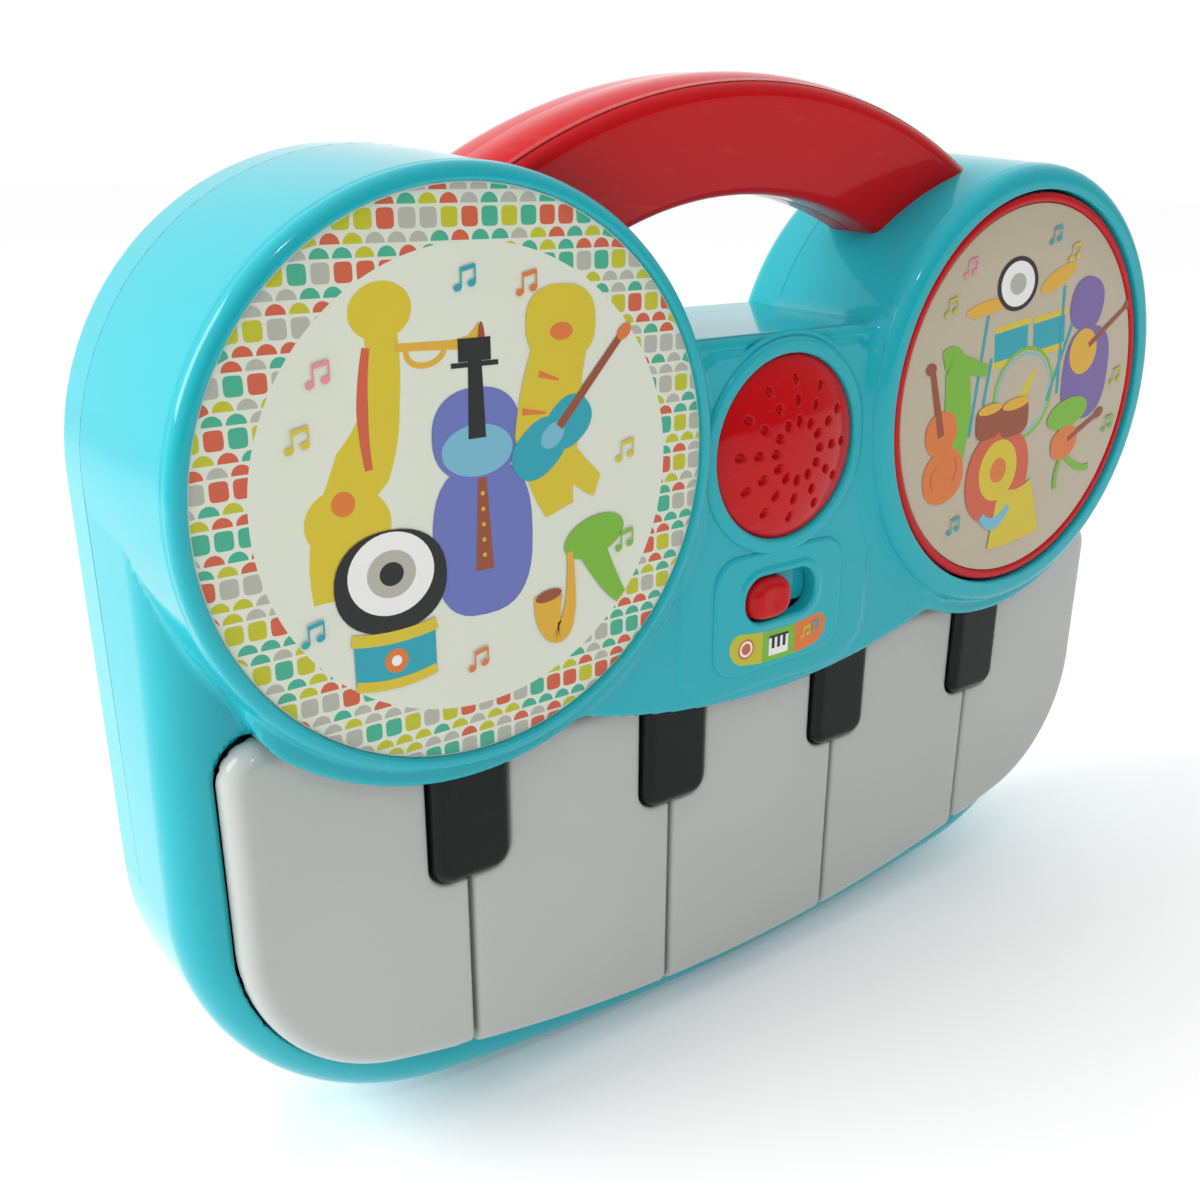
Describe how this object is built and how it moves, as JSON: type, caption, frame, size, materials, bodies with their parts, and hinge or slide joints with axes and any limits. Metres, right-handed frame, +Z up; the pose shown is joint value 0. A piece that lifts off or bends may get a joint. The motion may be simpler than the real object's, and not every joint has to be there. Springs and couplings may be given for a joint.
{
  "type": "toy electronic keyboard",
  "caption": "Free-standing toy keyboard with hinged keys, a pressing drum pad, a printed drum, a slide switch, a speaker grille and an arched carrying handle.",
  "frame": {"origin": "middle of the toy's footprint on the surface it stands on, centre of the bounding box in X and Y", "axes": "+X to the right as the player sees it, +Y to the back of the toy, +Z up"},
  "size_m": [0.377, 0.07, 0.301],
  "materials": {
    "teal_plastic": "gloss moulded plastic",
    "red_plastic": "gloss moulded plastic",
    "white_plastic": "milky white gloss plastic",
    "black_plastic": "satin black plastic",
    "printed_paper": "printed satin film",
    "screw_steel": "zinc plated",
    "circuit_board": "green solder mask",
    "dome_rubber": "moulded silicone",
    "cell_jacket": "plain printed jacket",
    "speaker_steel": "pressed steel",
    "speaker_paper": "pressed paper cone"
  },
  "bodies": {
    "case": {"battery_1": "cell_jacket", "battery_2": "cell_jacket", "battery_3": "cell_jacket", "battery_contacts": "screw_steel", "battery_door": "teal_plastic", "battery_door_screw": "screw_steel", "black_key_1": "black_plastic", "black_key_2": "black_plastic", "black_key_3": "black_plastic", "black_key_4": "black_plastic", "black_key_screws": "screw_steel", "board_screws": "screw_steel", "case_screws": "screw_steel", "chassis_screws": "screw_steel", "front_shell": "teal_plastic", "handle_front": "red_plastic", "handle_rear": "red_plastic", "handle_screws": "screw_steel", "key_board": "circuit_board", "key_chassis": "black_plastic", "key_dome_1": "dome_rubber", "key_dome_2": "dome_rubber", "key_dome_3": "dome_rubber", "key_dome_4": "dome_rubber", "key_dome_5": "dome_rubber", "left_drum_print": "printed_paper", "main_board": "circuit_board", "mode_label": "printed_paper", "pad_board": "circuit_board", "pad_domes": "dome_rubber", "pivot_rod": "screw_steel", "rear_cover": "teal_plastic", "slide_switch": "black_plastic", "sound_chip": "black_plastic", "speaker_basket": "speaker_steel", "speaker_clamp": "black_plastic", "speaker_cone": "speaker_paper", "speaker_grille": "red_plastic", "speaker_screws": "screw_steel"},
    "drum_pad": {"right_drum_pad": "red_plastic", "right_drum_print": "printed_paper", "pad_screws": "screw_steel"},
    "mode_slider": {"switch_knob": "red_plastic", "switch_lever": "black_plastic"},
    "key_1": {"white_key_1": "white_plastic"},
    "key_2": {"white_key_2": "white_plastic"},
    "key_3": {"white_key_3": "white_plastic"},
    "key_4": {"white_key_4": "white_plastic"},
    "key_5": {"white_key_5": "white_plastic"}
  },
  "joints": [
    {"name": "key_1_press", "type": "hinge", "parent": "case", "child": "key_1", "pos_m": [-0.147, -0.015, 0.121], "axis": [1, 0, 0], "range_deg": [0, 2.2], "stiffness_Nm_per_rad": 2, "springref_deg": -0.69, "deforming": ["key_dome_1"]},
    {"name": "key_2_press", "type": "hinge", "parent": "case", "child": "key_2", "pos_m": [-0.0735, -0.015, 0.121], "axis": [1, 0, 0], "range_deg": [0, 2.2], "stiffness_Nm_per_rad": 2, "springref_deg": -0.69, "deforming": ["key_dome_2"]},
    {"name": "key_3_press", "type": "hinge", "parent": "case", "child": "key_3", "pos_m": [0, -0.015, 0.121], "axis": [1, 0, 0], "range_deg": [0, 2.2], "stiffness_Nm_per_rad": 2, "springref_deg": -0.69, "deforming": ["key_dome_3"]},
    {"name": "key_4_press", "type": "hinge", "parent": "case", "child": "key_4", "pos_m": [0.0735, -0.015, 0.121], "axis": [1, 0, 0], "range_deg": [0, 2.2], "stiffness_Nm_per_rad": 2, "springref_deg": -0.69, "deforming": ["key_dome_4"]},
    {"name": "key_5_press", "type": "hinge", "parent": "case", "child": "key_5", "pos_m": [0.147, -0.015, 0.121], "axis": [1, 0, 0], "range_deg": [0, 2.2], "stiffness_Nm_per_rad": 2, "springref_deg": -0.69, "deforming": ["key_dome_5"]},
    {"name": "drum_pad_press", "type": "slide", "parent": "case", "child": "drum_pad", "axis": [0, 1, 0], "range_m": [0, 0.0025], "stiffness_N_per_m": 1600, "springref_m": -0.0008, "deforming": ["pad_domes"]},
    {"name": "mode_slide", "type": "slide", "parent": "case", "child": "mode_slider", "axis": [1, 0, 0], "range_m": [0, 0.0107]}
  ]
}
